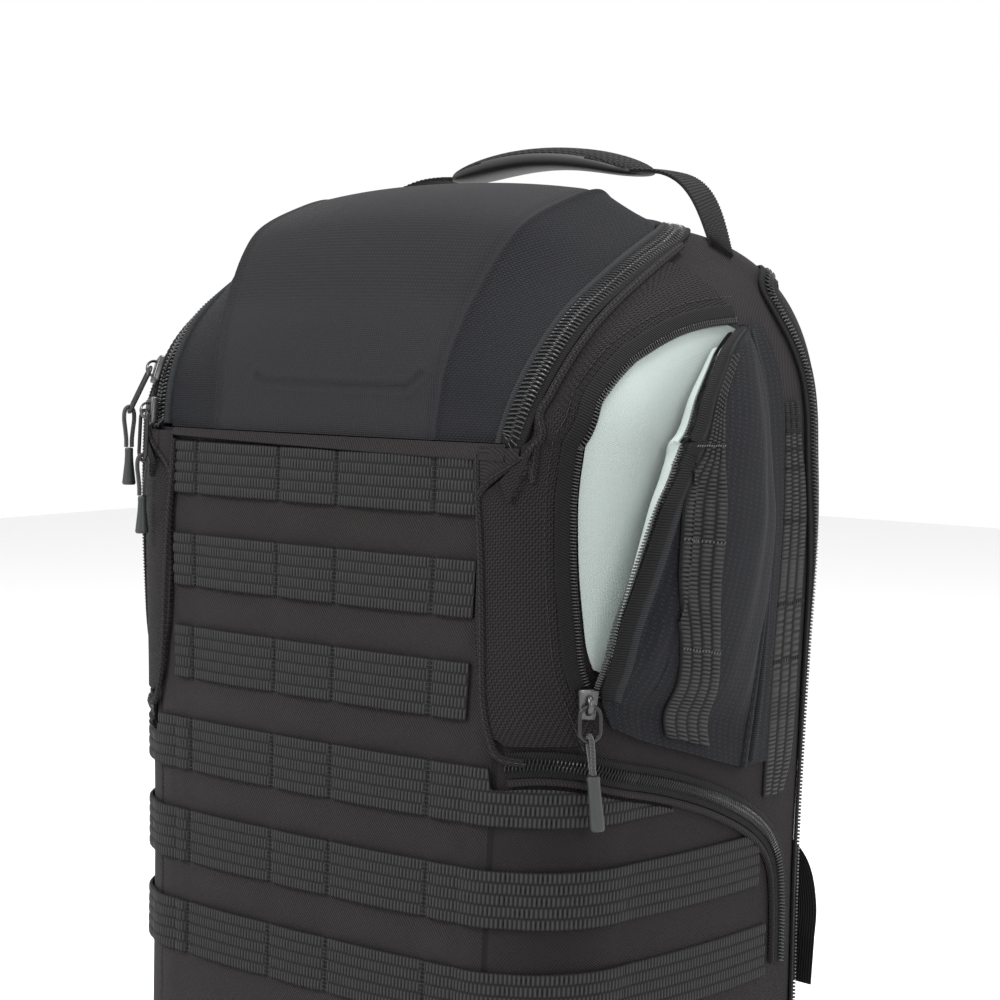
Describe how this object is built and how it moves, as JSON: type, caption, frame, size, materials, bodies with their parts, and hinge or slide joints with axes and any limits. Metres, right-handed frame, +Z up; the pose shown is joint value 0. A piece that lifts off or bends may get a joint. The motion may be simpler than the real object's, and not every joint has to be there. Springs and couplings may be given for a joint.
{
  "type": "camera backpack",
  "caption": "Upright soft backpack with a moulded lid, rows of webbing on its front, an open zipped side pocket, a carry handle and a padded back harness.",
  "frame": {"origin": "on the flat underside of the base panel, at the middle of the width and 85 mm behind the top edge of the front wall", "axes": "+Z up through the lid, -Y out of the webbed front, +X out of the side with the open pocket"},
  "size_m": [0.3384, 0.2436, 0.4817],
  "materials": {
    "shell_fabric": "matt charcoal twill",
    "lid_fabric": "matt dark grey ribbed cloth over a moulded shell",
    "pocket_fabric": "matt bluish charcoal ripstop",
    "lining": "smooth pale grey-green cloth",
    "zipper": "satin black coil on cloth tape",
    "webbing": "ribbed black webbing",
    "gunmetal": "satin gunmetal",
    "black_wire": "glossy black",
    "pull_cord": "braided black",
    "rubber": "matt black",
    "grip": "smooth dark grey over mesh",
    "back_fabric": "matt black cloth",
    "back_mesh": "open spacer mesh"
  },
  "bodies": {
    "root": {"body_shell": "shell_fabric", "base_panel": "shell_fabric", "gusset_right": "shell_fabric", "gusset_left": "shell_fabric", "side_panel_right": "shell_fabric", "side_panel_left": "shell_fabric", "lid_shell": "lid_fabric", "pocket_panel": "pocket_fabric", "closed_pocket_panel": "pocket_fabric", "pocket_lining": "lining", "pocket_panel_lining": "lining", "lid_zipper": "zipper", "pocket_chain_fixed": "zipper", "pocket_chain_free": "zipper", "closed_pocket_chain": "zipper", "door_zipper_right": "zipper", "door_zipper_left": "zipper", "main_zipper": "zipper", "front_webbing_1": "webbing", "front_webbing_2": "webbing", "front_webbing_3": "webbing", "front_webbing_4": "webbing", "front_webbing_5": "webbing", "front_webbing_6": "webbing", "pocket_webbing": "webbing", "side_webbing_right": "webbing", "side_webbing_left": "webbing", "handle_webbing_right": "webbing", "handle_webbing_left": "webbing", "lower_strap_right": "webbing", "lower_strap_left": "webbing", "pocket_pull_slider": "gunmetal", "pocket_pull_wire": "black_wire", "pocket_pull_cord": "pull_cord", "pocket_pull_cord_end": "rubber", "lid_pull_upper_slider": "gunmetal", "lid_pull_upper_wire": "black_wire", "lid_pull_upper_cord": "pull_cord", "lid_pull_upper_cord_end": "rubber", "lid_pull_lower_slider": "gunmetal", "lid_pull_lower_wire": "black_wire", "lid_pull_lower_cord": "pull_cord", "lid_pull_lower_cord_end": "rubber", "handle_grip": "grip", "back_plate": "back_fabric", "back_pad_right": "back_mesh", "back_pad_left": "back_mesh", "lumbar_pad": "back_mesh", "shoulder_strap_right": "back_fabric", "shoulder_strap_left": "back_fabric"}
  },
  "joints": []
}
